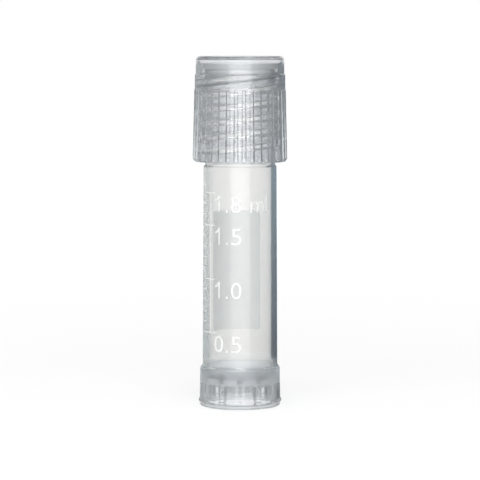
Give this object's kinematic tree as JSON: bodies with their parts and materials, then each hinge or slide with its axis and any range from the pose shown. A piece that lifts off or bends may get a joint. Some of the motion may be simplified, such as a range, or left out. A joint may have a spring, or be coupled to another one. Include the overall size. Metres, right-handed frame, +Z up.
{
  "type": "cryovial",
  "caption": "Self-standing clear plastic cryogenic vial with a ribbed hollow foot, a printed volume scale and a knurled screw cap on an outside thread.",
  "frame": {"origin": "centre of the underside of the foot", "axes": "+Z up the axis of the tube towards the cap; -Y is the side with the printed scale"},
  "size_m": [0.0136, 0.0136, 0.05],
  "materials": {
    "frosted_plastic": "clear moulded polypropylene, slightly frosted, with white print",
    "clear_plastic": "clear moulded polypropylene, glossy",
    "silicone": "translucent silicone, satin"
  },
  "bodies": {
    "tube": {"vial": "frosted_plastic"},
    "seal": {"seal_ring": "silicone"},
    "cap": {"screw_cap": "clear_plastic"}
  },
  "joints": [
    {"name": "cap_rise", "type": "slide", "parent": "tube", "child": "seal", "axis": [0, 0, 1], "range_m": [0, 0.016]},
    {"name": "cap_turn", "type": "hinge", "parent": "seal", "child": "cap", "pos_m": [0, 0, 0.0425], "axis": [0, 0, 1], "range_deg": [0, 1440]}
  ],
  "couplings": [
    {"joint": "cap_turn", "follows": "cap_rise", "rad_per_m": 1570.8}
  ]
}
